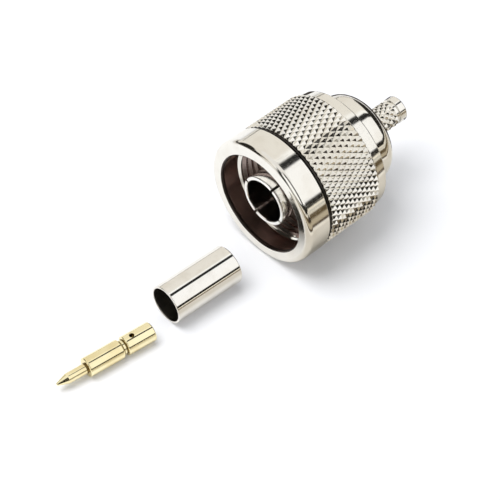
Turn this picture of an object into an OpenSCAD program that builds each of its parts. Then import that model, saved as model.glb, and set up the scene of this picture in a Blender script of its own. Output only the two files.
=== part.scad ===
// Coaxial cable plug with a threaded coupling nut, shown as the set it is sold
// in: the plug itself lies on its side, and its crimp ferrule and its centre
// contact lie loose in front of the mouth, in the order they go on the cable.
//
// X runs along the plug's axis, from the mouth to the cable end. The origin is
// the centre of the mouth, and everything lies on the plane nut_d / 2 below it.

/* [Coupling nut] */
// Outside diameter over the knurl and the collar
nut_d = 20.8; // [20.4:0.1:24]
// Length from the mouth to the back edge
nut_len = 16.6; // [16.4:0.1:20]
// How far the smooth back band tapers in to the back edge
back_taper = 0.55; // [0.3:0.05:0.9]
// Length of the plain collar behind the mouth
collar_len = 4.3; // [3:0.1:5]
// Wall of the nut outside the thread's crests
nut_wall = 3; // [2.6:0.1:4]
// Radial step from the thread out to the plain counterbore in the mouth
mouth_step = 0.75; // [0.5:0.05:1.2]
// Depth of the counterbore
mouth_depth = 3.3; // [2:0.1:4]
// Depth of the relief behind the thread
relief_depth = 0.7; // [0.5:0.05:1]
// Width of the relief behind the thread
relief_len = 1.3; // [1.2:0.1:1.6]

/* [Knurl] */
// Distance between points around the nut
knurl_pitch = 1; // [0.8:0.05:1.4]
// Distance between rows of points along the nut
knurl_row = 0.86; // [0.7:0.02:1.2]
// Depth of the knurl's grooves
knurl_depth = 0.36; // [0.2:0.02:0.5]
// Width of the smooth band behind the knurl
back_band = 1.8; // [1.4:0.1:2.4]
// Width of the V groove between the collar and the knurl
groove_w = 0.8; // [0.5:0.1:1.2]

/* [Plug body] */
// How far the barrel stands over the thread's crests
barrel_step = 0.1; // [0.05:0.05:0.4]
// Length of the barrel inside the nut
barrel_in = 5.9; // [5.6:0.1:6.5]
// Radial running gap between the nut and the barrel
run_gap = 0.06; // [0.02:0.01:0.1]
// How far the barrel shows behind the nut
barrel_out = 0.15; // [0.1:0.01:0.3]
// How far the back ring lies under the barrel
ring_drop = 0.1; // [0.05:0.05:0.4]
// Length of the back ring
ring_len = 5.3; // [3.5:0.1:6]
// Radius that rounds off the back ring
ring_round = 2.6; // [0.6:0.1:3]
// How far the hub that the ferrule butts against stands over the stem
hub_step = 1.2; // [1.1:0.1:2]
// Length of the hub
hub_len = 0.4; // [0.3:0.1:2]
// Wall of the boss inside the gasket
boss_wall = 1; // [0.7:0.05:1.2]
// How far the boss stands in front of the barrel
boss_len = 1.4; // [1.1:0.1:1.8]

/* [Crimp stem] */
// Wall of the stem, up to the points of its knurl
stem_wall = 0.55; // [0.45:0.01:0.8]
// Length of the stem behind the hub
stem_len = 6.8; // [5:0.1:12]
// Length of the plain end of the stem
stem_plain = 1.3; // [0.8:0.1:2]
// Distance between points around the stem
stem_pitch = 0.94; // [0.7:0.02:1.2]
// Distance between rows of points along the stem
stem_row = 0.58; // [0.4:0.02:0.8]
// Depth of the stem's knurl
stem_depth = 0.16; // [0.08:0.02:0.24]
// Radial clearance of the centre contact in the stem and the insulator
core_gap = 0.03; // [0.02:0.01:0.1]

/* [Outer contact] */
// Bore of the outer contact
line_d = 7; // [6.9:0.05:7.1]
// Wall of the spring fingers
finger_wall = 0.65; // [0.5:0.05:0.75]
// How far the fingers' tips lie behind the mouth
tip_setback = 0.8; // [0.2:0.1:2]
// Wall of the root that is pressed into the body
root_wall = 1.2; // [1:0.05:1.3]
// Length of the pressed root
root_len = 3; // [2.4:0.1:3.6]
// Length of the slots between the fingers
slot_len = 5.6; // [4:0.1:7]
// Width of the slots
slot_w = 0.4; // [0.25:0.05:0.6]
// Number of slots
slot_count = 4; // [3:1:6]
// Turn of the first slot about the axis
slot_turn = 26; // [0:1:90]

/* [Inner parts] */
// Length of the insulating bush
insulator_len = 5.6; // [4.6:0.1:5.8]
// How far the bush reaches into the outer contact
insulator_in = 0.4; // [0.2:0.1:1]
// Thickness of the gasket
gasket_t = 1; // [0.7:0.05:1.1]
// Radial space between the gasket and the thread
gasket_gap = 0.1; // [0.05:0.05:0.4]
// Width of the snap ring
snap_w = 1; // [0.8:0.05:1.2]
// Radial thickness of the snap ring
snap_t = 1.2; // [1:0.05:1.3]
// Opening in the snap ring
snap_split = 2.6; // [1.5:0.1:4]
// Distance from the nut's back edge to the snap ring
snap_inset = 2.8; // [2.2:0.1:3.4]

/* [Crimp ferrule] */
// Wall of the ferrule
ferrule_wall = 0.34; // [0.25:0.01:0.45]
// Radial room for the cable's braid between the stem and the ferrule
braid_room = 0.66; // [0.5:0.01:0.8]
// Length of the ferrule
ferrule_len = 12.1; // [9:0.1:16]
// Space between the mouth and the loose ferrule
ferrule_gap = 6.9; // [4:0.1:20]
// Sideways place of the ferrule's near end
ferrule_y = -0.73; // [-3:0.01:3]
// Turn of the loose ferrule on the floor
ferrule_turn = -2.3; // [-15:0.1:15]

/* [Centre contact] */
// Diameter of the contact's barrels
contact_d = 3.04; // [3:0.01:3.06]
// Diameter of the pin
pin_d = 1.6; // [1.5:0.05:1.7]
// Length of the pin in front of the barrel
pin_len = 5; // [4:0.1:6]
// Length of the cone at the pin's tip
cone_len = 1.8; // [1:0.1:2.4]
// Length of the front barrel
front_len = 5.9; // [5:0.1:7]
// Width of the groove between the barrels
neck_w = 0.7; // [0.4:0.05:1]
// Diameter at the bottom of that groove
neck_d = 2.3; // [2:0.05:2.6]
// Length of the rear barrel
rear_len = 4.8; // [4:0.1:6]
// Diameter of the hole for the cable's wire
wire_d = 1; // [0.9:0.05:1.2]
// Depth of that hole
wire_depth = 4; // [3:0.1:4.4]
// Diameter of the inspection hole
peep_d = 0.8; // [0.6:0.05:0.9]
// Distance from the groove to the middle of the inspection hole
peep_inset = 1.4; // [1.2:0.1:2]
// Space between the loose ferrule and the loose contact
contact_gap = 3.9; // [2:0.1:12]
// Sideways place of the contact's near end
contact_y = -1.42; // [-4:0.01:4]
// Turn of the loose contact on the floor
contact_turn = -6.6; // [-15:0.1:15]

/* [Hidden] */
$fn = 96;

// small edges and allowances
edge = 0.2;          // edge break on turned parts
lead_in = 0.5;       // lead-in cone between the counterbore and the thread
lip = 0.6;           // rounding on the mouth's outer edge
over = 1;            // how far a cut runs past a face
fit_gap = 0.1;       // clearance round parts that lie in a groove
sink = 0.05;         // depth of the core under the knurl's grooves

// stations along the axis
ring_x = nut_len + barrel_out;                    // front of the back ring
hub_x = ring_x + ring_len;
stem_x = hub_x + hub_len;
stem_end = stem_x + stem_len;
knurl_x = collar_len + groove_w;                // first row of points
knurl_rows = floor((nut_len - back_band - knurl_x) / knurl_row);
knurl_end = knurl_x + knurl_rows * knurl_row;
barrel_x = nut_len - barrel_in;                 // front of the barrel
boss_x = barrel_x - boss_len;
thread_end = barrel_x + edge - relief_len;      // where the relief starts
root_end = boss_x + root_len;                   // shoulder the root seats on
insulator_x = root_end - insulator_in;          // front of the bush
insulator_end = insulator_x + insulator_len;    // shoulder the bush seats on

// radii, from the axis outwards
line_r = line_d / 2;
tube_r = line_r + finger_wall;                  // over the spring fingers
root_r = line_r + root_wall;
boss_r = root_r + boss_wall;
core_r = contact_d / 2 + core_gap;              // stem's and bush's bore
stem_r = core_r + stem_wall;
hub_r = stem_r + hub_step;
nut_r = nut_d / 2;
thread_r = nut_r - nut_wall;                    // inside the thread's crests
mouth_r = thread_r + mouth_step;
barrel_r = thread_r + barrel_step;
ring_r = barrel_r - ring_drop;
bore_r = barrel_r + run_gap;                    // nut's bore on the barrel
relief_r = thread_r + relief_depth;
ferrule_in_r = stem_r + braid_room;
ferrule_r = ferrule_in_r + ferrule_wall;

// snap ring, in a groove of the body and a groove of the nut
snap_x = nut_len - snap_inset - snap_w;
snap_r = barrel_r - snap_t / 2;                 // inside radius of the ring
nut_groove_r = snap_r + snap_t + 2 * fit_gap;

// loose pieces
floor_z = -nut_r;
ferrule_x = -ferrule_gap;
contact_len = pin_len + front_len + neck_w + rear_len;
contact_x = ferrule_x - ferrule_len - contact_gap;

// Revolves a profile drawn as (radius, distance along the axis) about X
module turned() {
    rotate([0, 90, 0]) rotate_extrude() children();
}

// Plain stretch of a turned profile
module stretch(r_in, r_out, x0, x1) {
    translate([r_in, x0]) square([r_out - r_in, x1 - x0]);
}

// Ring with a diamond knurl: rows of four-sided points, each row half a pitch
// round from the last, so that the grooves between them cross as two helices.
// The rows at both ends are cut down, as the wheel's run-out leaves them.
module knurl_ring(x0, rows, row_len, count, r_in, r_root, r_tip) {
    sides = 2 * count;
    function on_circle(r, x, k) =
        [x, r * cos(k * 360 / sides), r * sin(k * 360 / sides)];
    function is_point(j, k) = (j + k) % 2 == 1;
    function point_r(j) = j == 0 || j == rows ? (r_root + r_tip) / 2 : r_tip;
    function out(j, k) = j * sides + (k + sides) % sides;
    function in(e, k) = (rows + 1 + e) * sides + k % sides;

    outer = [for (j = [0:rows], k = [0:sides - 1])
        on_circle(is_point(j, k) ? point_r(j) : r_root, x0 + j * row_len, k)];
    inner = [for (j = [0, rows], k = [0:sides - 1])
        on_circle(r_in, x0 + j * row_len, k)];

    towards_back = [for (j = [0:rows - 1], k = [0:sides - 1]) if (is_point(j, k))
        each [[out(j, k), out(j + 1, k), out(j, k + 1)],
              [out(j, k), out(j, k - 1), out(j + 1, k)]]];
    towards_front = [for (j = [1:rows], k = [0:sides - 1]) if (is_point(j, k))
        each [[out(j, k), out(j, k + 1), out(j - 1, k)],
              [out(j, k), out(j - 1, k), out(j, k - 1)]]];
    walls = [for (k = [0:sides - 1])
        each [[out(0, k), out(0, k + 1), in(0, k + 1), in(0, k)],
              [out(rows, k + 1), out(rows, k), in(1, k), in(1, k + 1)],
              [in(0, k), in(0, k + 1), in(1, k + 1), in(1, k)]]];
    polyhedron(concat(outer, inner), concat(towards_back, towards_front, walls));
}

// Turned and knurled nut: counterbored mouth, thread, relief, and a plain bore
// that runs on the body, with a groove that takes the snap ring
module coupling_nut() {
    back_r = nut_r - back_taper;
    low_r = nut_r - knurl_depth;
    count = round(2 * PI * nut_r / knurl_pitch);
    base_r = low_r * cos(90 / count) - sink;
    color("silver") difference() {
        union() {
            turned() {
                stretch(0, nut_r, lip, collar_len);
                stretch(0, nut_r - lip, 0, lip + edge);
                translate([nut_r - lip, lip]) circle(r = lip);
                polygon([[0, collar_len - edge], [nut_r, collar_len - edge],
                         [nut_r, collar_len], [base_r, collar_len + groove_w / 2],
                         [base_r, knurl_end + edge], [0, knurl_end + edge]]);
                polygon([[0, knurl_end - edge], [base_r, knurl_end - edge],
                         [nut_r - edge, knurl_end + edge], [back_r, nut_len - edge],
                         [back_r - edge, nut_len], [0, nut_len]]);
            }
            knurl_ring(knurl_x, knurl_rows, knurl_row, count,
                       base_r - 4 * sink, low_r, nut_r);
        }
        turned() {
            polygon([[0, -over], [mouth_r + edge + over, -over],
                     [mouth_r, edge], [mouth_r, mouth_depth],
                     [thread_r, mouth_depth + lead_in],
                     [thread_r, thread_end], [relief_r, thread_end],
                     [relief_r, thread_end + relief_len],
                     [bore_r, thread_end + relief_len],
                     [bore_r, nut_len + over], [0, nut_len + over]]);
            stretch(0, nut_groove_r, snap_x - fit_gap, snap_x + snap_w + fit_gap);
        }
    }
}

// Turned body: boss and barrel inside the nut, back ring behind it, and the
// hollow stem that the cable's braid is crimped on
module plug_body() {
    low_r = stem_r - stem_depth;
    count = round(2 * PI * stem_r / stem_pitch);
    base_r = low_r * cos(90 / count) - sink;
    rows = floor((stem_len - stem_plain - 2 * edge) / stem_row);
    color("silver") difference() {
        union() {
            turned() {
                stretch(0, boss_r, boss_x, barrel_x + edge);
                stretch(0, barrel_r, barrel_x, ring_x);
                stretch(0, ring_r, ring_x - edge, hub_x - ring_round);
                stretch(0, ring_r - ring_round, ring_x, hub_x);
                translate([ring_r - ring_round, hub_x - ring_round])
                    circle(r = ring_round);
                stretch(0, hub_r, hub_x - edge, stem_x);
                stretch(0, base_r, stem_x - edge, stem_end - edge);
                polygon([[0, stem_end - stem_plain], [stem_r, stem_end - stem_plain],
                         [stem_r, stem_end - edge], [stem_r - edge, stem_end],
                         [0, stem_end]]);
            }
            knurl_ring(stem_x + edge, rows, stem_row, count,
                       base_r - sink, low_r, stem_r);
        }
        turned() {
            stretch(0, root_r, boss_x - over, root_end);
            stretch(0, line_r, root_end - over, insulator_end);
            stretch(0, core_r, insulator_end - over, stem_end + over);
            stretch(snap_r - fit_gap, barrel_r + over, snap_x, snap_x + snap_w + fit_gap);
        }
    }
}

// Spring outer contact: a slotted tube whose root is pressed into the body
module outer_contact() {
    color("gainsboro") difference() {
        turned() {
            difference() {
                union() {
                    polygon([[0, tip_setback], [tube_r - edge, tip_setback],
                             [tube_r, tip_setback + edge], [tube_r, root_end],
                             [0, root_end]]);
                    stretch(0, root_r, boss_x, root_end);
                }
                stretch(0, line_r, tip_setback - over, root_end + over);
                polygon([[0, tip_setback - over],
                         [line_r + edge / 2 + over, tip_setback - over],
                         [line_r, tip_setback + edge / 2], [0, tip_setback + edge / 2]]);
            }
        }
        for (i = [0:slot_count - 1])
            rotate([slot_turn + i * 360 / slot_count, 0, 0])
                translate([tip_setback - over, 0, -slot_w / 2])
                    cube([slot_len + over, tube_r + over, slot_w]);
    }
}

// White bush that carries the centre contact on the axis
module insulator() {
    color("white") turned() difference() {
        polygon([[0, insulator_x], [line_r - edge, insulator_x],
                 [line_r, insulator_x + edge], [line_r, insulator_end],
                 [0, insulator_end]]);
        stretch(0, core_r, insulator_x - over, insulator_end + over);
    }
}

// Soft ring on the boss, against the front of the barrel
module gasket() {
    color("firebrick") turned()
        stretch(boss_r, thread_r - gasket_gap, barrel_x - gasket_t, barrel_x);
}

// Split ring that traps the nut on the body
module snap_ring() {
    color("goldenrod") difference() {
        turned() stretch(snap_r, snap_r + snap_t, snap_x, snap_x + snap_w);
        translate([snap_x - over, 0, -snap_split / 2])
            cube([snap_w + 2 * over, 2 * barrel_r, snap_split]);
    }
}

// Thin tube that is crimped over the braid and the stem
module crimp_ferrule() {
    r = ferrule_r;
    in_r = ferrule_in_r;
    rim = ferrule_wall / 3;
    color("silver") translate([ferrule_x, ferrule_y, floor_z + r])
        rotate([0, 0, ferrule_turn]) turned()
            polygon([[in_r + rim, -ferrule_len], [r - rim, -ferrule_len],
                     [r, rim - ferrule_len], [r, -rim], [r - rim, 0],
                     [in_r + rim, 0], [in_r, -rim], [in_r, rim - ferrule_len]]);
}

// Pin with a conical tip, two barrels with a groove between them, a hole for
// the cable's wire and an inspection hole into it from above
module centre_contact() {
    r = contact_d / 2;
    pin_r = pin_d / 2;
    front_x = pin_len + front_len;
    rear_x = front_x + neck_w;
    color("gold") translate([contact_x, contact_y, floor_z + r])
        rotate([0, 0, contact_turn]) translate([-contact_len, 0, 0]) difference() {
            turned() difference() {
                polygon([[0, 0], [pin_r / 4, 0], [pin_r, cone_len], [pin_r, pin_len],
                         [r - edge, pin_len], [r, pin_len + edge], [r, front_x - edge],
                         [r - edge, front_x], [neck_d / 2, front_x],
                         [neck_d / 2, rear_x], [r - edge, rear_x], [r, rear_x + edge],
                         [r, contact_len - edge], [r - edge, contact_len],
                         [0, contact_len]]);
                stretch(0, wire_d / 2, contact_len - wire_depth, contact_len + over);
            }
            translate([rear_x + peep_inset, 0, 0])
                cylinder(d = peep_d, h = contact_d);
        }
}

coupling_nut();
plug_body();
outer_contact();
insulator();
gasket();
snap_ring();
crimp_ferrule();
centre_contact();
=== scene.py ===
from math import cos, pi, radians, sin, tan

import bmesh
import bpy
from mathutils import Matrix, Vector


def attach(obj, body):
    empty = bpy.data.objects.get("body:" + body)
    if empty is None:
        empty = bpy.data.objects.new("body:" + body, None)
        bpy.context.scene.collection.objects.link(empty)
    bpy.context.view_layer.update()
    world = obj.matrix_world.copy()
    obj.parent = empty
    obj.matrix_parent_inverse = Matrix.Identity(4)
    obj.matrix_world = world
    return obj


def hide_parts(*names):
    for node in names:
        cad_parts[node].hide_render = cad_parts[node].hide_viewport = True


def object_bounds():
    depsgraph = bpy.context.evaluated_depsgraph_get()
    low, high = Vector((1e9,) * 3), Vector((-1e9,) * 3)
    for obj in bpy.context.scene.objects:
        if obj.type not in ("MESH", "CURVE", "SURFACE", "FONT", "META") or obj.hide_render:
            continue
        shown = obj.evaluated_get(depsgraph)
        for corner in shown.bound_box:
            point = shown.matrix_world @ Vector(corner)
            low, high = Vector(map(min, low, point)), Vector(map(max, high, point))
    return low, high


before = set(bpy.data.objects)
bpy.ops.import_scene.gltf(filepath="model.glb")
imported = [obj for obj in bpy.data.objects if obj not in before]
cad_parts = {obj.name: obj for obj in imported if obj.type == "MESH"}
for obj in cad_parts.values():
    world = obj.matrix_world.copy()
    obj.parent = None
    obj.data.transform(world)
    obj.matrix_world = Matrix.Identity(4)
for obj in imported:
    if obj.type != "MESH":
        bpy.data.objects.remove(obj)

cad_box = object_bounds()
scene = bpy.context.scene
scene.view_settings.view_transform = "Standard"
mm = 0.001

# ---- Camera --------------------------------------------------------------
# A long lens looks down on the set from in front of the mouth, so that the
# mouth, the knurled side and both loose pieces all show.
camera = bpy.data.objects.new("camera", bpy.data.cameras.new("camera"))
scene.collection.objects.link(camera)
scene.camera = camera
camera.data.lens = 151.2
camera.data.sensor_width = 36
camera.data.clip_start, camera.data.clip_end = 0.01, 10
camera.location = Vector((-145.66, -151.51, 225.76)) * mm
looks_at = Vector((-4.45, -2.71, -4.48)) * mm
camera.rotation_euler = (looks_at - camera.location).to_track_quat("-Z", "Y").to_euler()

# ---- Coupling nut --------------------------------------------------------
# Turned from brass bar, drilled and counterbored, threaded inside, diamond
# knurled between a narrow groove and a smooth tapered band, then nickel plated.
nut_r, nut_len, collar_len = 10.4, 16.6, 4.3
mouth_r, mouth_depth, lead_in = 8.15, 3.3, 0.5
thread_r, thread_depth, thread_pitch, thread_end = 7.4, 0.54, 1.058, 9.6
thread_crest = 0.25  # as a share of the pitch, and so is the flank
thread_flank = thread_depth * tan(radians(30)) / thread_pitch
relief_r, relief_end, bore_r = 8.1, 10.9, 7.56
snap_front, snap_back, nut_snap_r = 12.7, 13.9, 8.3
groove_r, groove_floor_end, groove_end = 9.6, 4.6, 4.75
knurl_front, knurl_rows, knurl_row, knurl_count = 5.1, 11, 0.86, 65
knurl_root, knurl_end_r, knurl_chamfer = nut_r - 0.33, nut_r - 0.12, 0.1
knurl_back = knurl_front + knurl_rows * knurl_row
base_r = knurl_root - 0.05
band_front_r, band_back_r = 10.12, 9.85
nut_steps = 3 * knurl_count


def rounded(corners, loop=False, steps=3, hold=0.03):
    """Points of a profile through (x, r, radius) corners, each rounded by its
    radius, with a point just before and after each so that flats stay flat."""
    line = []
    for i, (x, r, radius) in enumerate(corners):
        here = Vector((x, r))
        if radius == 0 or (not loop and i in (0, len(corners) - 1)):
            line.append(here)
            continue
        back = (Vector(corners[i - 1][:2]) - here).normalized()
        on = (Vector(corners[(i + 1) % len(corners)][:2]) - here).normalized()
        half = back.angle(on) / 2
        start, end = here + back * radius / tan(half), here + on * radius / tan(half)
        centre = here + (back + on).normalized() * radius / sin(half)
        a, b, turn = start - centre, end - centre, pi - 2 * half
        line.append(start + back * hold)
        for k in range(steps + 1):
            t = k / steps
            line.append(centre + (a * sin((1 - t) * turn) + b * sin(t * turn)) / sin(turn))
        line.append(end + on * hold)
    return line


def point_at(bm, x, r, turn):
    """A vertex at x along the axis, r out from it and an angle round it."""
    return bm.verts.new((x * mm, r * mm * cos(turn), r * mm * sin(turn)))


def revolve(bm, line, steps, loop=False):
    """Turns a profile of (x, r) points about X. A point on the axis is a pole."""
    rings = []
    for x, r in line:
        if r < 1e-6:
            rings.append([point_at(bm, x, 0, 0)] * steps)
        else:
            rings.append([point_at(bm, x, r, 2 * pi * k / steps) for k in range(steps)])
    for a, b in zip(rings, rings[1:] + (rings[:1] if loop else [])):
        for k in range(steps):
            n = (k + 1) % steps
            corners = list(dict.fromkeys((a[k], a[n], b[n], b[k])))
            if len(corners) > 2:
                bm.faces.new(corners)


def as_object(bm, name, closed=True):
    """Merges what meets, points the faces outwards and makes the object."""
    bmesh.ops.remove_doubles(bm, verts=bm.verts, dist=2e-7)
    if closed:
        bmesh.ops.recalc_face_normals(bm, faces=bm.faces)
        assert all(len(e.link_faces) == 2 for e in bm.edges), name + " has an open seam"
    mesh = bpy.data.meshes.new(name)
    bm.to_mesh(mesh)
    bm.free()
    mesh.shade_smooth()
    mesh.set_sharp_from_angle(angle=radians(32))
    made = bpy.data.objects.new(name, mesh)
    scene.collection.objects.link(made)
    return made


def evaluated(made, name, material):
    """The object's modifiers made into a plain closed mesh, under a new name."""
    seen = made.evaluated_get(bpy.context.evaluated_depsgraph_get())
    mesh = bpy.data.meshes.new_from_object(seen)
    bm = bmesh.new()
    bm.from_mesh(mesh)
    bpy.data.objects.remove(made)
    bmesh.ops.dissolve_degenerate(bm, edges=bm.edges, dist=1e-8)
    piece = as_object(bm, name)
    piece.data.materials.append(material)
    return piece


def thread_radius(x, turn):
    """The inside thread's radius, run out on the lead-in cone at its front."""
    across = ((x - mouth_depth) / thread_pitch - turn) % 1
    cut = min(max(across - thread_crest, 0), thread_flank, 1 - across) / thread_flank
    cone = thread_r + (mouth_r - thread_r) * (1 - (x - mouth_depth) / lead_in)
    return max(thread_r + thread_depth * cut, cone)


def cut_thread(bm):
    """The inside thread. Each row of points follows the helix, and stops at the
    counterbore and at the relief."""
    # places along one pitch, just before and after each corner of the thread
    root = thread_crest + thread_flank
    stops = (0.02, thread_crest - 0.02, thread_crest + 0.02, root - 0.02, root + 0.02,
             0.98 - thread_flank, 1.01 - thread_flank, 0.985)
    turns = int((thread_end - mouth_depth) / thread_pitch) + 4
    rows = [whole + stop - 2 for whole in range(turns) for stop in stops]
    grid = []
    for row in rows:
        ring = []
        for k in range(nut_steps):
            turn = k / nut_steps
            x = mouth_depth + thread_pitch * (row + turn)
            x = min(max(x, mouth_depth), thread_end)
            ring.append(point_at(bm, x, thread_radius(x, turn), 2 * pi * turn))
        grid.append(ring)
    last = [point_at(bm, thread_end, relief_r, 2 * pi * k / nut_steps) for k in range(nut_steps)]
    per_turn = len(stops)
    for j in range(len(rows) - 1):
        for k in range(nut_steps - 1):
            bm.faces.new((grid[j][k], grid[j + 1][k], grid[j + 1][k + 1], grid[j][k + 1]))
        if j + 1 + per_turn < len(rows):
            bm.faces.new((grid[j][-1], grid[j + 1][-1],
                          grid[j + 1 + per_turn][0], grid[j + per_turn][0]))
    for k in range(nut_steps):
        n = (k + 1) % nut_steps
        bm.faces.new((grid[-1][k], last[k], last[n], grid[-1][n]))


nut_bm = bmesh.new()
revolve(nut_bm, rounded([
    (knurl_front - knurl_chamfer, base_r, 0), (groove_end, base_r, 0.03),
    (groove_floor_end, groove_r, 0.05), (collar_len, groove_r, 0.05),
    (collar_len, nut_r, 0.06), (0, nut_r, 0.9), (0, mouth_r + 0.2, 0.05),
    (0.2, mouth_r, 0.05), (mouth_depth, mouth_r, 0)]), nut_steps)
cut_thread(nut_bm)
revolve(nut_bm, rounded([
    (thread_end, relief_r, 0), (relief_end, relief_r, 0.1), (relief_end, bore_r, 0.05),
    (snap_front, bore_r, 0.05), (snap_front, nut_snap_r, 0.05),
    (snap_back, nut_snap_r, 0.05), (snap_back, bore_r, 0.05),
    (nut_len, bore_r, 0.08), (nut_len, band_back_r, 0.18),
    (knurl_back + 0.2, band_front_r, 0.04), (knurl_back + knurl_chamfer, base_r, 0)]), nut_steps)
nut_blank = as_object(nut_bm, "nut_blank", closed=False)


def knurl_point(name, row, count, root, tip, flat):
    """One four-sided point of a diamond knurl, on the axis' +Y side. Its top is
    rolled flat over the share flat of its width, and its open foot lies on the
    root circle, so that neighbours share their edges."""
    bm = bmesh.new()
    half = pi / count
    foot, top = [[point_at(bm, row * share, r, 0), point_at(bm, 0, r, half * share),
                  point_at(bm, -row * share, r, 0), point_at(bm, 0, r, -half * share)]
                 for share, r in ((1, root), (flat, tip))]
    for k in range(4):
        n = (k + 1) % 4
        bm.faces.new((foot[k], foot[n], top[n], top[k]))
    bm.faces.new((top[1], top[2], top[3]))
    bm.faces.new((top[3], top[0], top[1]))
    return as_object(bm, name, closed=False)


def set_sockets(node, values):
    """Sets a node's inputs to values, or links them where a value is a socket."""
    for place, value in dict(values).items():
        if isinstance(value, bpy.types.NodeSocket):
            node.id_data.links.new(value, node.inputs[place])
        else:
            node.inputs[place].default_value = value


def node_makers(tree):
    """Three calls that add to a tree: any node with its settings and sockets, the
    result of a Math node, and a mix of two colours, sockets or plain."""
    def add(kind, values=(), **settings):
        made = tree.nodes.new(kind)
        for key, value in settings.items():
            setattr(made, key, value)
        set_sockets(made, values)
        return made

    def maths(operation, *values):
        return add("ShaderNodeMath", dict(enumerate(values)), operation=operation).outputs[0]

    def mixed(share, *colours):
        one, other = [(*c, 1) if isinstance(c, tuple) else c for c in colours]
        return add("ShaderNodeMix", {0: share, 6: one, 7: other}, data_type="RGBA").outputs[2]

    return add, maths, mixed


def along_and_out(add, place):
    """How far a place lies along the X axis, and how far out from it."""
    along = add("ShaderNodeSeparateXYZ", {0: place}).outputs[0]
    across = add("ShaderNodeVectorMath", {0: place, 1: (0, 1, 1)}, operation="MULTIPLY").outputs[0]
    return along, add("ShaderNodeVectorMath", {0: across}, operation="LENGTH").outputs["Value"]


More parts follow.
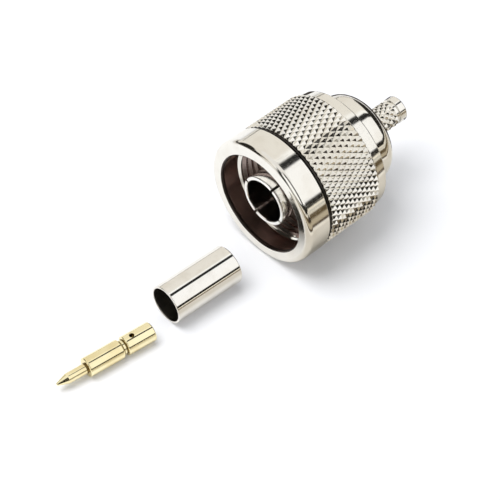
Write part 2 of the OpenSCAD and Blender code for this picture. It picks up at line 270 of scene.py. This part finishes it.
def knurl_tree():
    """Geometry Nodes: sets one knurl point on every place of a staggered
    lattice round X, trims both ends, chamfers them down to the blank and
    welds the whole to the blank."""
    tree = bpy.data.node_groups.new("diamond_knurl", "GeometryNodeTree")
    add, maths, _ = node_makers(tree)
    for label, kind in (("Blank", "Geometry"), ("Point", "Object"), ("Rows", "Int"),
                        ("Starts", "Int"), ("Row Length", "Float"), ("Front", "Float"),
                        ("End Radius", "Float"), ("Rim Radius", "Float"),
                        ("Chamfer", "Float"), ("Material", "Material")):
        tree.interface.new_socket(label, in_out="INPUT", socket_type="NodeSocket" + kind)
    tree.interface.new_socket("Geometry", in_out="OUTPUT", socket_type="NodeSocketGeometry")

    # a point on each place of the lattice, every other row half a step round
    given = add("NodeGroupInput").outputs
    number = maths("MULTIPLY", maths("ADD", given["Rows"], 1), given["Starts"])
    points = add("GeometryNodePoints", {"Count": number}).outputs[0]
    index = add("GeometryNodeInputIndex").outputs[0]
    row = maths("FLOOR", maths("DIVIDE", maths("ADD", index, 0.5), given["Starts"]))
    around = maths("SUBTRACT", index, maths("MULTIPLY", row, given["Starts"]))
    shift = maths("SUBTRACT", 1, maths("MODULO", row, 2))
    step = maths("DIVIDE", pi, given["Starts"])
    turn = maths("MULTIPLY", maths("ADD", maths("MULTIPLY", around, 2), shift), step)
    along = maths("ADD", given["Front"], maths("MULTIPLY", row, given["Row Length"]))
    placed = add("GeometryNodeSetPosition", {
        "Geometry": points,
        "Position": add("ShaderNodeCombineXYZ", {0: along}).outputs[0]}).outputs[0]
    point = add("GeometryNodeObjectInfo", {"Object": given["Point"], "As Instance": True},
                transform_space="ORIGINAL").outputs["Geometry"]
    studs = add("GeometryNodeInstanceOnPoints", {
        "Points": placed, "Instance": point,
        "Rotation": add("ShaderNodeCombineXYZ", {0: turn}).outputs[0]}).outputs[0]
    studs = add("GeometryNodeRealizeInstances", {"Geometry": studs}).outputs[0]

    # trim what reaches past the band, and weld the studs to each other
    place = add("GeometryNodeInputPosition").outputs[0]
    x, radius = along_and_out(add, place)
    length = maths("MULTIPLY", given["Rows"], given["Row Length"])
    back = maths("ADD", given["Front"], length)
    past = maths("MAXIMUM", maths("LESS_THAN", x, given["Front"]),
                 maths("GREATER_THAN", x, back))
    studs = add("GeometryNodeDeleteGeometry", {"Geometry": studs, "Selection": past},
                domain="FACE").outputs[0]
    studs = add("GeometryNodeMergeByDistance", {"Geometry": studs, "Distance": 2e-6}).outputs[0]

    # lower the cut points and draw the edge down to the rim of the blank
    middle = maths("MULTIPLY", maths("ADD", given["Front"], back), 0.5)
    offset = maths("SUBTRACT", x, middle)
    at_end = maths("GREATER_THAN", maths("ABSOLUTE", offset),
                   maths("SUBTRACT", maths("MULTIPLY", length, 0.5), 1e-6))
    lowered = maths("DIVIDE", maths("MINIMUM", radius, given["End Radius"]), radius)
    scale = add("ShaderNodeCombineXYZ", {0: 1, 1: lowered, 2: lowered}).outputs[0]
    studs = add("GeometryNodeSetPosition", {
        "Geometry": studs, "Selection": at_end,
        "Position": add("ShaderNodeVectorMath", {0: place, 1: scale},
                        operation="MULTIPLY").outputs[0]}).outputs[0]
    border = maths("LESS_THAN", add("GeometryNodeInputMeshEdgeNeighbors").outputs[0], 1.5)
    drawn = add("GeometryNodeExtrudeMesh",
                {"Mesh": studs, "Selection": border, "Offset Scale": 0}, mode="EDGES").outputs
    side = maths("SIGN", offset)
    odd = maths("MODULO", given["Rows"], 2)
    late = maths("MULTIPLY", odd, maths("GREATER_THAN", side, 0))
    third = maths("DIVIDE", step, 3)
    yz = add("ShaderNodeSeparateXYZ", {0: place}).outputs
    angle = maths("ADD", maths("ARCTAN2", yz[2], yz[1]),
                  maths("MULTIPLY", maths("ADD", late, 1), third))
    angle = maths("SNAP", angle, maths("MULTIPLY", third, 2))
    rim = add("ShaderNodeCombineXYZ", {
        0: maths("ADD", x, maths("MULTIPLY", side, given["Chamfer"])),
        1: maths("MULTIPLY", maths("COSINE", angle), given["Rim Radius"]),
        2: maths("MULTIPLY", maths("SINE", angle), given["Rim Radius"])}).outputs[0]
    studs = add("GeometryNodeSetPosition", {
        "Geometry": drawn["Mesh"], "Selection": drawn["Top"], "Position": rim}).outputs[0]

    # weld them to the blank, and leave one plain mesh
    joined = add("GeometryNodeJoinGeometry")
    for part in (studs, given["Blank"]):
        tree.links.new(part, joined.inputs[0])
    welded = add("GeometryNodeMergeByDistance",
                 {"Geometry": joined.outputs[0], "Distance": 2e-6}).outputs[0]
    whole = add("GeometryNodeRealizeInstances", {"Geometry": welded}).outputs[0]
    coated = add("GeometryNodeSetMaterial",
                 {"Geometry": whole, "Material": given["Material"]}).outputs[0]
    add("NodeGroupOutput", {0: coated})
    return tree


def knurled(blank, name, point, material, sizes):
    """The blank with a knurl of such points welded on, as one plain mesh."""
    modifier = blank.modifiers.new("knurl", "NODES")
    modifier.node_group = diamond_knurl
    values = {"Point": point, "Material": material, **sizes}
    for socket in diamond_knurl.interface.items_tree:
        if socket.name in values:
            modifier[socket.identifier] = values[socket.name]
    piece = evaluated(blank, name, material)
    bpy.data.objects.remove(point)
    return piece


def finish_group(name, size, value, masks):
    """An empty shader group that takes a place and one named size and gives
    masks: (group, its input sockets, its output node)."""
    group = bpy.data.node_groups.new(name, "ShaderNodeTree")
    face = group.interface
    face.new_socket("Vector", in_out="INPUT", socket_type="NodeSocketVector")
    face.new_socket(size, in_out="INPUT", socket_type="NodeSocketFloat").default_value = value
    for label in masks:
        face.new_socket(label, in_out="OUTPUT", socket_type="NodeSocketFloat")
    return group, group.nodes.new("NodeGroupInput").outputs, group.nodes.new("NodeGroupOutput")


# fine rings that the lathe tool leaves: along the axis on cylinders, and
# outwards from the axis on faces
lathe_rings, given, masks = finish_group("lathe_rings", "Lines per mm", 9.0, ("Height", "Bands"))
add, maths, _ = node_makers(lathe_rings)
along, out = along_and_out(add, given["Vector"])
both = add("ShaderNodeCombineXYZ", {0: along, 1: out}).outputs[0]
per_metre = maths("MULTIPLY", given["Lines per mm"], 1000)
fine = add("ShaderNodeVectorMath", {0: both, "Scale": per_metre}, operation="SCALE").outputs[0]
wide = add("ShaderNodeVectorMath", {0: fine, 1: (0.12, 0.12, 1)}, operation="MULTIPLY").outputs[0]
set_sockets(masks, {
    "Height": add("ShaderNodeTexNoise",
                  {"Vector": fine, "Scale": 1, "Detail": 3, "Roughness": 0.6}).outputs[0],
    "Bands": add("ShaderNodeTexNoise", {"Vector": wide, "Scale": 1, "Detail": 2}).outputs[0]})

# how plating looks after handling: soft clouds of tarnish, and hairlines laid
# three ways
handling, given, masks = finish_group("handling", "Cloud Size mm", 3.0, ("Tarnish", "Hairlines"))
add, maths, _ = node_makers(handling)
per_metre = maths("DIVIDE", 1000, given["Cloud Size mm"])
clouds = add("ShaderNodeTexNoise",
             {"Vector": given["Vector"], "Scale": per_metre, "Detail": 4}).outputs[0]
hairlines = 0
for turn, shift in ((0.5, 0.0), (-0.7, 3.1), (1.3, 5.7)):
    laid = add("ShaderNodeMapping",
               {"Vector": given["Vector"], "Location": (shift, shift, shift),
                "Rotation": (turn, turn / 2, turn), "Scale": (90, 2600, 2600)}).outputs[0]
    grain = add("ShaderNodeTexNoise", {"Vector": laid, "Scale": 1, "Detail": 0}).outputs[0]
    hairlines = maths("MAXIMUM", hairlines, maths("COMPARE", grain, 0.68, 0.006))
set_sockets(masks, {
    "Tarnish": add("ShaderNodeMapRange", {"Value": clouds, "From Min": 0.42, "From Max": 0.72},
                   interpolation_type="SMOOTHSTEP").outputs[0],
    "Hairlines": hairlines})


def new_material(name):
    """A material with nodes: (material, its Principled shader, its node makers)."""
    material = bpy.data.materials.new(name)
    material.use_nodes = True
    tree = material.node_tree
    return material, tree.nodes["Principled BSDF"], node_makers(tree)


def plated(name, colour, tarnish, roughness, lines=9.0, rings=0.35, dull=0.3,
           centre=(0, 0, 0), turn=0.0, painted_shade_bands=()):
    """A plated, turned metal. centre and turn put the rings on the piece's axis,
    and each band is (colour, roughness, x, x, radius, radius) in mm: painted
    shade, a darker colour inside a hole, in a groove or at a step."""
    material, shader, (add, maths, mixed) = new_material(name)

    def between(value, first, last):
        return maths("COMPARE", value, (first + last) / 2 * mm, (last - first) / 2 * mm)

    own = add("ShaderNodeMapping",
              {"Vector": add("ShaderNodeTexCoord").outputs["Object"], "Location": centre,
               "Rotation": (0, 0, turn)}, vector_type="TEXTURE").outputs[0]
    ring = add("ShaderNodeGroup", {"Vector": own, "Lines per mm": lines},
               node_tree=lathe_rings).outputs
    worn = add("ShaderNodeGroup", {"Vector": own}, node_tree=handling).outputs
    shade = mixed(maths("MULTIPLY", worn["Tarnish"], dull), colour, tarnish)
    rough = add("ShaderNodeMapRange",
                {"Value": ring["Bands"], "From Min": 0.3, "From Max": 0.7,
                 "To Min": roughness * 0.8, "To Max": roughness * 1.25}).outputs[0]
    rough = maths("MULTIPLY_ADD", worn["Hairlines"], 0.12, rough)
    if painted_shade_bands:
        along, out = along_and_out(add, own)
    # each band paints shade: a darker colour and its own roughness where it holds
    for tint, gloss, start, end, low, high in painted_shade_bands:
        painted_shade = maths("MULTIPLY", between(along, start, end), between(out, low, high))
        shade = mixed(painted_shade, shade, tint)
        rough = add("ShaderNodeMix", {0: painted_shade, 2: rough, 3: gloss}).outputs[0]
    bump = add("ShaderNodeBump",
               {"Strength": rings, "Distance": 2e-6, "Height": ring["Height"]}).outputs[0]
    set_sockets(shader, {"Metallic": 1, "Base Color": shade, "Roughness": rough, "Normal": bump})
    return material


# the bands are painted shade, darker where shade falls: the groove, the edge
# of the mouth, its wall, and the thread with the bore behind it
nickel, nickel_tarnish = (0.88, 0.86, 0.81), (0.70, 0.65, 0.57)
inside = (7, nut_r - 2)
nut_nickel = plated("nut_nickel", nickel, nickel_tarnish, 0.09, painted_shade_bands=[
    ((0.05, 0.045, 0.04), 0.3, collar_len - 0.01, knurl_front - 0.02, 9, knurl_end_r),
    ((0.07, 0.055, 0.05), 0.3, 0.03, 0.6, 7, mouth_r + 0.19),
    ((0.38, 0.28, 0.25), 0.2, 0.6, mouth_depth - 0.05, *inside),
    ((0.36, 0.29, 0.265), 0.2, mouth_depth + lead_in, nut_len - 0.12, *inside)])
diamond_knurl = knurl_tree()
nut_point = knurl_point("nut_knurl_point", knurl_row, knurl_count, knurl_root, nut_r, 0.14)
nut = knurled(nut_blank, "nut", nut_point, nut_nickel, {
    "Rows": knurl_rows, "Starts": knurl_count, "Row Length": knurl_row * mm,
    "Front": knurl_front * mm, "End Radius": knurl_end_r * mm,
    "Rim Radius": base_r * mm, "Chamfer": knurl_chamfer * mm})
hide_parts("coupling_nut")
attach(nut, "nut")

# ---- Plug body -----------------------------------------------------------
# One turned brass piece, nickel plated: a boss and a barrel inside the nut, a
# rounded ring behind it, and the hollow stem that the braid is crimped on.
boss_x, boss_r = 9.3, 5.7
barrel_x, barrel_r, body_snap_r = 10.7, 7.5, 6.8
ring_x, ring_r, ring_round = 16.75, 7.4, 2.6
hub_x, hub_r = 22.05, 3.3
root_r, root_end = 4.7, 12.3
line_r, seat_end = 3.5, 17.5
stem_x, stem_end, stem_plain = 22.45, 29.25, 1.3
stem_r, stem_bore, stem_chamfer = 2.1, 1.55, 0.05
stem_count, stem_rows, stem_row, stem_root = 14, 8, 0.58, 1.94
stem_knurl = stem_x + 0.2
stem_knurl_end = stem_knurl + stem_rows * stem_row
stem_base = stem_root * cos(pi / (2 * stem_count)) - 0.05

body_bm = bmesh.new()
revolve(body_bm, rounded([
    (boss_x, root_r, 0.05), (boss_x, boss_r, 0.1), (barrel_x, boss_r, 0.05),
    (barrel_x, barrel_r, 0.12), (snap_front, barrel_r, 0.05), (snap_front, body_snap_r, 0.05),
    (snap_back, body_snap_r, 0.05), (snap_back, barrel_r, 0.05), (ring_x, barrel_r, 0.015),
    (ring_x, ring_r, 0.015), (ring_x + 0.3, ring_r, 0)])
    + rounded([(ring_x + 0.4, ring_r, 0), (hub_x, ring_r, ring_round), (hub_x, hub_r, 0.1),
               (stem_x, hub_r, 0.1), (stem_x, stem_bore, 0.05),
               (seat_end, stem_bore, 0.05), (seat_end, line_r, 0.05), (root_end, line_r, 0.05),
               (root_end, root_r, 0.05), (root_end - 0.5, root_r, 0)], steps=8),
    steps=126, loop=True)
body = as_object(body_bm, "body")
stem_bm = bmesh.new()
revolve(stem_bm, rounded([
    (stem_knurl - stem_chamfer, stem_base, 0), (stem_x - 0.1, stem_base, 0),
    (stem_x - 0.1, stem_bore, 0), (stem_end, stem_bore, 0.06), (stem_end, stem_r, 0.14),
    (stem_end - stem_plain, stem_r, 0.08), (stem_end - stem_plain, stem_base, 0.03),
    (stem_knurl_end + stem_chamfer, stem_base, 0)]), steps=3 * stem_count)
stem_blank = as_object(stem_bm, "stem_blank", closed=False)
body_nickel = plated("body_nickel", nickel, nickel_tarnish, 0.08)
stem_point = knurl_point("stem_knurl_point", stem_row, stem_count, stem_root, stem_r, 0.3)
stem = knurled(stem_blank, "stem", stem_point, body_nickel, {
    "Rows": stem_rows, "Starts": stem_count, "Row Length": stem_row * mm,
    "Front": stem_knurl * mm, "End Radius": stem_r * mm,
    "Rim Radius": stem_base * mm, "Chamfer": stem_chamfer * mm})
body.data.materials.append(body_nickel)
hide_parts("plug_body")
for piece in (body, stem):
    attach(piece, "plug")

# ---- Outer contact -------------------------------------------------------
# A thin brass tube, slotted into four spring fingers at the mating end and
# pressed into the body at its root, then bright plated.
tube_r, tip_x, pressed_r, pressed_end = 4.15, 0.8, root_r - 0.005, root_end - 0.005
slot_end, slot_width, slot_turn = 6.4, 0.4, 26

tube_bm = bmesh.new()
revolve(tube_bm, rounded([
    (tip_x, line_r + 0.1, 0.06), (tip_x, tube_r - 0.02, 0.14), (boss_x, tube_r, 0.06),
    (boss_x, pressed_r, 0.1), (pressed_end, pressed_r, 0.05), (pressed_end, line_r, 0.05),
    (tip_x + 0.2, line_r, 0.05)], loop=True), steps=128, loop=True)
outer_contact = as_object(tube_bm, "outer_contact")
# four cutters, each from 1 mm in front of the tip to the slot's end
slots_bm = bmesh.new()
for k in range(4):
    turn = Matrix.Rotation(radians(slot_turn + 90 * k), 4, "X")
    box = Matrix.LocRotScale(Vector(((tip_x + slot_end) / 2 - 0.5, 4, 0)) * mm, None,
                             Vector((slot_end - tip_x + 1, 2.4, slot_width)) * mm)
    bmesh.ops.create_cube(slots_bm, size=1, matrix=turn @ box)
slots = as_object(slots_bm, "slots")
cut = outer_contact.modifiers.new("slots", "BOOLEAN")
cut.operation, cut.object, cut.solver = "DIFFERENCE", slots, "EXACT"
soften = outer_contact.modifiers.new("soften", "BEVEL")
soften.width, soften.segments, soften.limit_method = 0.03 * mm, 2, "ANGLE"
soften.angle_limit = radians(60)
# its band is painted shade: the tube's inside is a darker colour
contact_silver = plated("contact_silver", (0.96, 0.95, 0.92), (0.58, 0.50, 0.41), 0.10,
                        painted_shade_bands=[((0.30, 0.27, 0.25), 0.2, -40, 40, 0, line_r + 0.04)])
outer_contact = evaluated(outer_contact, "spring_fingers", contact_silver)
bpy.data.objects.remove(slots)
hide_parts("outer_contact")
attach(outer_contact, "plug")

# ---- Insulating bush -----------------------------------------------------
# A turned white fluoropolymer bush in the root of the outer contact, with a
# bore that takes the centre contact.
bush_x = 11.9

bush_bm = bmesh.new()
revolve(bush_bm, rounded([
    (bush_x, stem_bore, 0.12), (bush_x, line_r, 0.2), (seat_end, line_r, 0.1),
    (seat_end, stem_bore, 0.12)], loop=True), steps=96, loop=True)
bush = as_object(bush_bm, "bush")
ptfe, shader, (add, _, mixed) = new_material("ptfe")
ring = add("ShaderNodeGroup", {"Vector": add("ShaderNodeTexCoord").outputs["Object"],
                               "Lines per mm": 5}, node_tree=lathe_rings).outputs
set_sockets(shader, {
    "Subsurface Weight": 0.15, "Subsurface Scale": 0.0005,
    "Base Color": mixed(ring["Bands"], (0.86, 0.86, 0.83), (0.93, 0.93, 0.91)),
    "Roughness": add("ShaderNodeMapRange", {"Value": ring["Bands"], "To Min": 0.35,
                                            "To Max": 0.5}).outputs[0],
    "Normal": add("ShaderNodeBump", {"Strength": 0.4, "Distance": 5e-6,
                                     "Height": ring["Height"]}).outputs[0]})
bush.data.materials.append(ptfe)
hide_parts("insulator")
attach(bush, "plug")

# ---- Gasket --------------------------------------------------------------
# A punched ring of brick-red silicone rubber, pushed over the boss against
# the barrel, where the mating connector's rim presses on it.
gasket_x, gasket_r = 9.7, 7.3

gasket_bm = bmesh.new()
revolve(gasket_bm, rounded([
    (gasket_x, boss_r, 0.15), (gasket_x, gasket_r, 0.2), (barrel_x, gasket_r, 0.15),
    (barrel_x, boss_r, 0.1)], loop=True, steps=4), steps=128, loop=True)
gasket = as_object(gasket_bm, "seal_ring")
silicone, shader, (add, _, mixed) = new_material("silicone")
where = add("ShaderNodeTexCoord").outputs["Object"]
cloud, grain = [add("ShaderNodeTexNoise", {"Vector": where, "Scale": scale,
                                           "Detail": detail}).outputs[0]
                for scale, detail in ((900, 3), (9000, 2))]
set_sockets(shader, {
    "Base Color": mixed(cloud, (0.26, 0.065, 0.045), (0.44, 0.13, 0.09)),
    "Roughness": add("ShaderNodeMapRange", {"Value": cloud, "To Min": 0.5,
                                            "To Max": 0.7}).outputs[0],
    "Normal": add("ShaderNodeBump", {"Strength": 0.5, "Distance": 2e-5,
                                     "Height": grain}).outputs[0]})
gasket.data.materials.append(silicone)
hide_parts("gasket")
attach(gasket, "plug")

# ---- Snap ring -----------------------------------------------------------
# A split ring of bronze wire, square in section, that sits half in the body's
# groove and half in the nut's and lets the nut spin. Its solid is right as is.
spring_bronze = plated("spring_bronze", (0.72, 0.50, 0.28), (0.38, 0.24, 0.13), 0.28,
                       lines=6, dull=0.6)
snap_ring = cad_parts["snap_ring"]
snap_ring.data.materials.clear()
snap_ring.data.materials.append(spring_bronze)

# ---- Crimp ferrule -------------------------------------------------------
# A short piece of annealed brass tube with deburred rims, nickel plated. It
# lies loose in front of the mouth, and is crimped over the braid last.
ferrule_r, ferrule_bore, ferrule_len = 3.1, 2.76, 12.1
floor_z = cad_box[0].z / mm
ferrule_x, ferrule_turn = -6.9, radians(-2.3)
ferrule_at = Vector((ferrule_x, -0.73, floor_z + ferrule_r)) * mm

tube_bm = bmesh.new()
revolve(tube_bm, rounded([
    (-ferrule_len, ferrule_bore + 0.04, 0.08), (-ferrule_len, ferrule_r, 0.12),
    (0, ferrule_r, 0.12), (0, ferrule_bore, 0.08), (-ferrule_len + 0.2, ferrule_bore, 0.05)],
    loop=True), steps=128, loop=True)
bmesh.ops.transform(tube_bm, verts=tube_bm.verts,
                    matrix=Matrix.Translation(ferrule_at) @ Matrix.Rotation(ferrule_turn, 4, "Z"))
ferrule = as_object(tube_bm, "ferrule")
# its band is painted shade: the bore is a darker colour
ferrule_nickel = plated("ferrule_nickel", (0.88, 0.86, 0.82), (0.66, 0.61, 0.52), 0.06,
                        lines=7, rings=0.2, centre=ferrule_at, turn=ferrule_turn,
                        painted_shade_bands=[((0.30, 0.28, 0.25), 0.3, -20, 20, 0, ferrule_bore + 0.05)])
ferrule.data.materials.append(ferrule_nickel)
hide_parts("crimp_ferrule")
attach(ferrule, "plug")

# ---- Centre contact ------------------------------------------------------
# Turned brass, gold plated: a pin with a conical tip, a barrel that seats in
# the bush, a groove, and a rear barrel drilled for the cable's wire, with an
# inspection hole to see that the solder has run in.
contact_r, pin_r, neck_r = 1.52, 0.8, 1.15
pin_len, cone_len, front_x, rear_x, contact_len = 5.0, 1.8, 10.9, 11.6, 16.4
wire_r, wire_depth, peep_r, peep_x = 0.5, 4.0, 0.4, 13.0
wire_end = contact_len - wire_depth
contact_gap, contact_turn = 3.9, radians(-6.6)
contact_end = Vector((ferrule_x - ferrule_len - contact_gap, -1.42, floor_z + contact_r)) * mm
contact_place = (Matrix.Translation(contact_end) @ Matrix.Rotation(contact_turn, 4, "Z")
                 @ Matrix.Translation((-contact_len * mm, 0, 0)))

contact_bm = bmesh.new()
revolve(contact_bm, [Vector((0, 0))] + rounded([
    (0, 0.1, 0), (0, 0.2, 0.08), (cone_len, pin_r, 0.6), (pin_len, pin_r, 0.06),
    (pin_len, contact_r, 0.2), (front_x, contact_r, 0.2), (front_x, neck_r, 0.05),
    (rear_x, neck_r, 0.05), (rear_x, contact_r, 0.2), (contact_len, contact_r, 0.2),
    (contact_len, wire_r + 0.04, 0.05), (contact_len - 0.15, wire_r, 0.04),
    (wire_end, wire_r, 0.05), (wire_end, 0.1, 0)]) + [Vector((wire_end, 0))], steps=72)
contact = as_object(contact_bm, "contact_blank")
drill_bm = bmesh.new()
bmesh.ops.create_cone(drill_bm, cap_ends=True, segments=32, radius1=peep_r * mm,
                      radius2=peep_r * mm, depth=2.4 * mm,
                      matrix=Matrix.Translation(Vector((peep_x, 0, 1.2)) * mm))
drill = as_object(drill_bm, "drill")
cut = contact.modifiers.new("inspection_hole", "BOOLEAN")
cut.operation, cut.object, cut.solver = "DIFFERENCE", drill, "EXACT"
# painted shade: darker gold in the corner at the pin's shoulder, at both ends of the groove, and
# inside the wire hole
painted_gold_shade = [((0.20, 0.14, 0.05), 0.3, start, end, 0, top + 0.05)
             for start, end, top in ((pin_len - 0.25, pin_len, pin_r),
                                     (front_x, front_x + 0.2, neck_r),
                                     (rear_x - 0.2, rear_x, neck_r),
                                     (peep_x - 0.5, contact_len - 0.2, wire_r))]
gold = plated("gold", (0.98, 0.89, 0.58), (0.80, 0.64, 0.30), 0.07, lines=12, rings=0.5,
              dull=0.4, centre=contact_place.translation, turn=contact_turn, painted_shade_bands=painted_gold_shade)
contact = evaluated(contact, "pin_contact", gold)
bpy.data.objects.remove(drill)
contact.data.transform(contact_place)
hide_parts("centre_contact")
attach(contact, "plug")

# ---- Floor and light -----------------------------------------------------
# A plain white table under a wide soft tent. Two long panes of the tent run
# beside the plug, with a narrow dark gap overhead and a dark edge low down.
floor_bm = bmesh.new()
bmesh.ops.create_grid(floor_bm, x_segments=1, y_segments=1, size=1.5,
                      matrix=Matrix.Translation((0, 0, floor_z * mm)))
floor = as_object(floor_bm, "floor", closed=False)


def ramp(add, value, stops):
    """The colour of a value on a Color Ramp with these (place, colour) stops."""
    made = add("ShaderNodeValToRGB", {0: value})
    elements = made.color_ramp.elements
    while len(elements) < len(stops):
        elements.new(0.5)
    for element, (place, colour) in zip(elements, stops):
        element.position = place
        element.color = (*colour, 1)
    return made.outputs[0]


paper, shader, (add, maths, mixed) = new_material("paper")
ray = add("ShaderNodeLightPath").outputs
split = add("ShaderNodeSeparateXYZ", {0: add("ShaderNodeTexCoord").outputs["Object"]}).outputs


def reflected_patch_at(x, half_x, y, half_y):
    """Where a dark patch is painted on the table for glossy rays, by its middle and half its
    sides.
    """
    return maths("MULTIPLY", maths("COMPARE", split[0], x, half_x),
                 maths("COMPARE", split[1], y, half_y))


# painted reflections: to glossy rays alone the paper shows pale close to the plug,
# strips from 10 to 140 mm out on the near side, some of them dark, and two dark
# patches, one behind the stem and one beside the nut, for the metal to mirror; all else sees plain
# paper
painted_reflection = ramp(add, maths("MULTIPLY", split[1], -5), (
    (0.0, (0.95, 0.94, 0.93)), (0.02, (0.95, 0.94, 0.93)), (0.05, (0.66, 0.62, 0.55)),
    (0.115, (0.66, 0.61, 0.54)), (0.128, (0.84, 0.79, 0.71)), (0.140, (0.84, 0.79, 0.71)),
    (0.148, (0.09, 0.065, 0.045)), (0.166, (0.09, 0.065, 0.045)),
    (0.176, (0.46, 0.39, 0.28)), (0.245, (0.46, 0.39, 0.28)), (0.29, (0.12, 0.085, 0.045)),
    (0.55, (0.12, 0.085, 0.045)), (0.70, (0.90, 0.82, 0.67)), (1.0, (0.90, 0.84, 0.72))))
painted_dark_patches = maths("MAXIMUM", reflected_patch_at(0.335, 0.3, 0.025, 0.03), reflected_patch_at(0.005, 0.02, -0.26, 0.2))
mirrored = mixed(painted_dark_patches, painted_reflection, (0.04, 0.03, 0.025))
set_sockets(shader, {
    "Roughness": 0.8, "Specular IOR Level": 0,
    "Base Color": mixed(ray["Is Glossy Ray"], (0.90, 0.90, 0.92), mirrored)})

# a little glow, for the camera alone, keeps the paper white round the shadow
glow = add("ShaderNodeEmission", {
    "Color": (1, 1, 1, 1), "Strength": maths("MULTIPLY", ray["Is Camera Ray"], 0.075)})
both = add("ShaderNodeAddShader", {0: shader.outputs[0], 1: glow.outputs[0]}).outputs[0]
set_sockets(paper.node_tree.nodes["Material Output"], {"Surface": both})
floor.data.materials.append(paper)

# the tent, by the direction from the plug: dx to the stem, dy to the far side
# and dz up
world = bpy.data.worlds.new("tent")
world.use_nodes = True
scene.world = world
add, maths, mixed = node_makers(world.node_tree)
towards = add("ShaderNodeTexCoord").outputs["Generated"]
dx, dy, dz = add("ShaderNodeSeparateXYZ", {0: towards}).outputs


def fade(value, start, end, top=1.0):
    """From 0 at start to top at end."""
    return add("ShaderNodeMapRange",
               {"Value": value, "From Min": start, "From Max": end, "To Max": top}).outputs[0]


# the panes and the gap between them, from the far side at 0 over the top to
# the near side at 1, and the plain ends of the tent
panes = ramp(add, maths("DIVIDE", maths("ARCTAN2", dz, dy), pi), (
    (0.0, (0.80, 0.77, 0.71)), (0.42, (0.83, 0.80, 0.74)), (0.455, (1.0, 1.0, 0.98)),
    (0.485, (1.0, 1.0, 0.98)), (0.50, (0.02, 0.02, 0.02)), (0.56, (0.02, 0.02, 0.02)),
    (0.575, (1.0, 1.0, 1.0)), (0.91, (1.0, 0.99, 0.97)), (0.925, (0.02, 0.018, 0.015)),
    (0.968, (0.02, 0.018, 0.015)), (0.985, (0.95, 0.88, 0.74)), (1.0, (0.95, 0.88, 0.74))))
end_on = add("ShaderNodeMapRange",
             {"Value": maths("ABSOLUTE", dx), "From Min": 0.88, "From Max": 0.97},
             interpolation_type="SMOOTHSTEP").outputs[0]
gap_end = maths("MULTIPLY", fade(dx, 0.30, 0.20), fade(dz, 0.80, 0.85))
sky = mixed(maths("MAXIMUM", end_on, gap_end), panes, (0.85, 0.84, 0.82))

# the dark edge low down: thinner beyond the stem on the far side, higher
# straight behind the stem and in front of the mouth, where a bright pane
# opens in it
thin = maths("MULTIPLY", fade(dy, 0.1, 0.7), fade(dx, -0.2, 0.3, 0.09))
stem_side = maths("MULTIPLY", fade(dx, 0.75, 0.79, 0.60), fade(dy, 0.62, 0.54))
mouth_side = maths("MULTIPLY", fade(dx, -0.30, -0.42, 0.55), fade(dy, -0.28, -0.18))
brim = maths("MAXIMUM", maths("SUBTRACT", 0.17, thin), stem_side)
brim = maths("MAXIMUM", brim, mouth_side)
dark = maths("MULTIPLY", maths("LESS_THAN", dz, brim), maths("GREATER_THAN", dz, 0.05))
bright = maths("MULTIPLY", fade(dy, 0.08, 0.16), fade(dy, 0.52, 0.46))
bright = maths("MULTIPLY", fade(dx, -0.78, -0.84), bright)
dark = maths("MAXIMUM", maths("SUBTRACT", dark, bright), 0)

# a round dark card hangs on the far side, and two dark strips stand on the
# near one
card = add("ShaderNodeVectorMath", {0: towards, 1: (-0.31, 0.85, 0.38)},
           operation="DISTANCE").outputs["Value"]
dark = maths("MAXIMUM", dark, fade(card, 0.34, 0.28))
for middle, low, full in ((-0.32, -0.2, -0.3), (-0.08, -0.95, -0.97)):
    strip = maths("MULTIPLY", maths("COMPARE", dx, middle, 0.12), fade(dy, low, full))
    dark = maths("MAXIMUM", dark, strip)
sky = mixed(dark, sky, (0.02, 0.018, 0.015))

# matt surfaces and the camera see a plain tent
ray = add("ShaderNodeLightPath").outputs
for seen_by, tint in (("Is Diffuse Ray", (0.94, 0.97, 1)), ("Is Camera Ray", (1, 1, 1))):
    sky = mixed(ray[seen_by], sky, tint)
strength = add("ShaderNodeMix", {0: ray["Is Diffuse Ray"], 2: 1.08, 3: 0.56}).outputs[0]
set_sockets(world.node_tree.nodes["Background"], {"Color": sky, "Strength": strength})

# a round lamp, high on the far side of the mouth, throws the shadow to the
# near side; the metal doesn't mirror it
key = bpy.data.objects.new("key", bpy.data.lights.new("key", "AREA"))
scene.collection.objects.link(key)
key.data.shape, key.data.size = "DISK", 0.38
key.data.energy = 1.75
key.location = (-0.12, 0.12, 0.45)
key.rotation_euler = (-key.location).to_track_quat("-Z", "Y").to_euler()
key.visible_glossy = False
